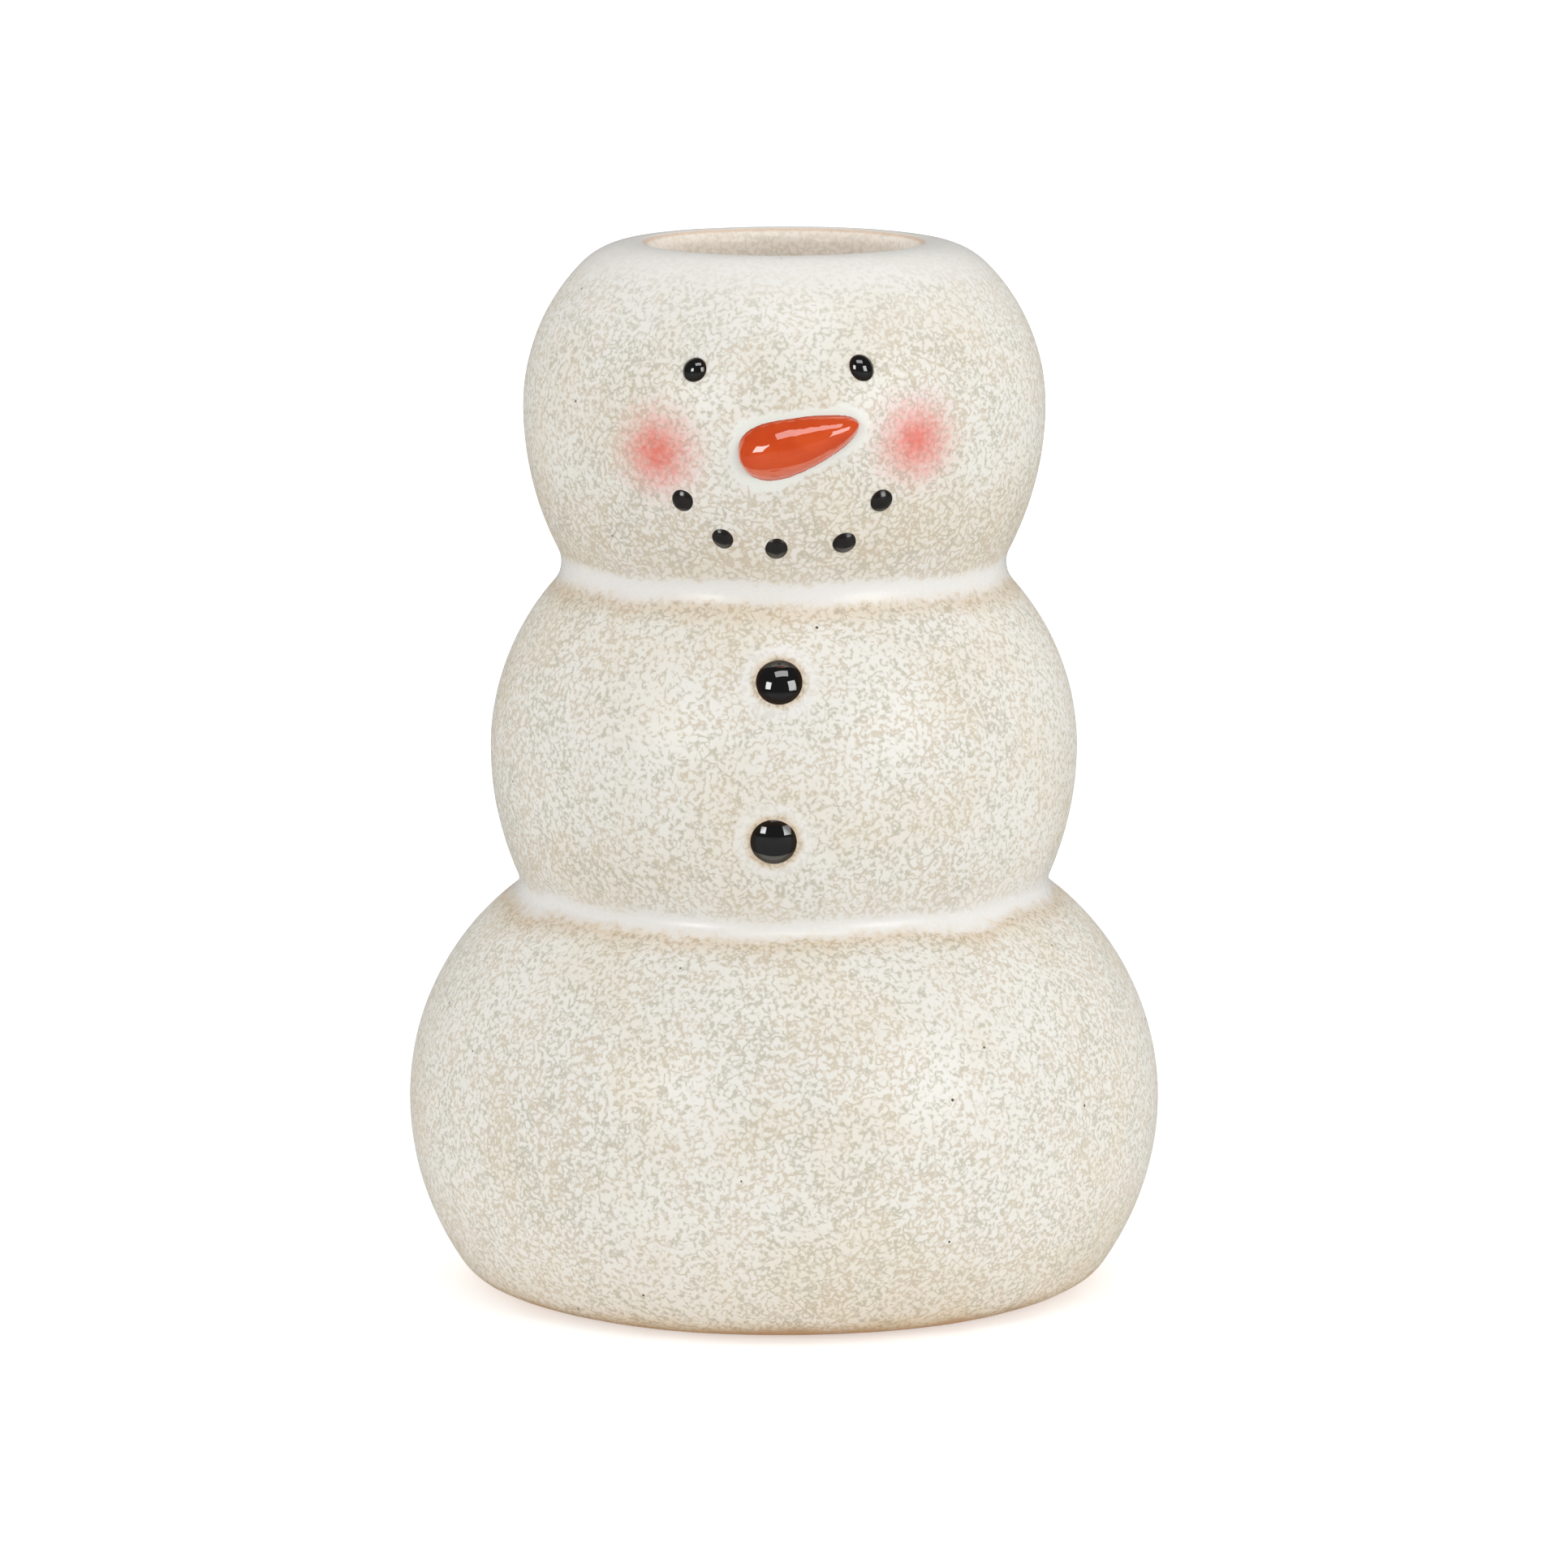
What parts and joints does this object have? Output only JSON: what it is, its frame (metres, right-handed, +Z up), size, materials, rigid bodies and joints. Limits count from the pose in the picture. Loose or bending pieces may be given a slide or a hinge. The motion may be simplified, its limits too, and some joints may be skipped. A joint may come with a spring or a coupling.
{
  "type": "ceramic snowman vase",
  "caption": "Hollow stoneware snowman vase of stacked balls, open at the top of the head, with an applied carrot nose, coat buttons, eyes and mouth.",
  "frame": {"origin": "centre of the foot, on the plane that the vase stands on", "axes": "+Z up through the mouth, -Y the way the face looks, +X to the snowman's own left"},
  "size_m": [0.137, 0.137, 0.19],
  "materials": {
    "speckled_glaze": "satin",
    "orange_glaze": "gloss",
    "black_glaze": "gloss"
  },
  "bodies": {
    "root": {"vase_body": "speckled_glaze", "carrot_nose": "orange_glaze", "right_eye": "black_glaze", "left_eye": "black_glaze", "mouth_coal_1": "black_glaze", "mouth_coal_2": "black_glaze", "mouth_coal_3": "black_glaze", "mouth_coal_4": "black_glaze", "mouth_coal_5": "black_glaze", "upper_button": "black_glaze", "lower_button": "black_glaze"}
  },
  "joints": []
}
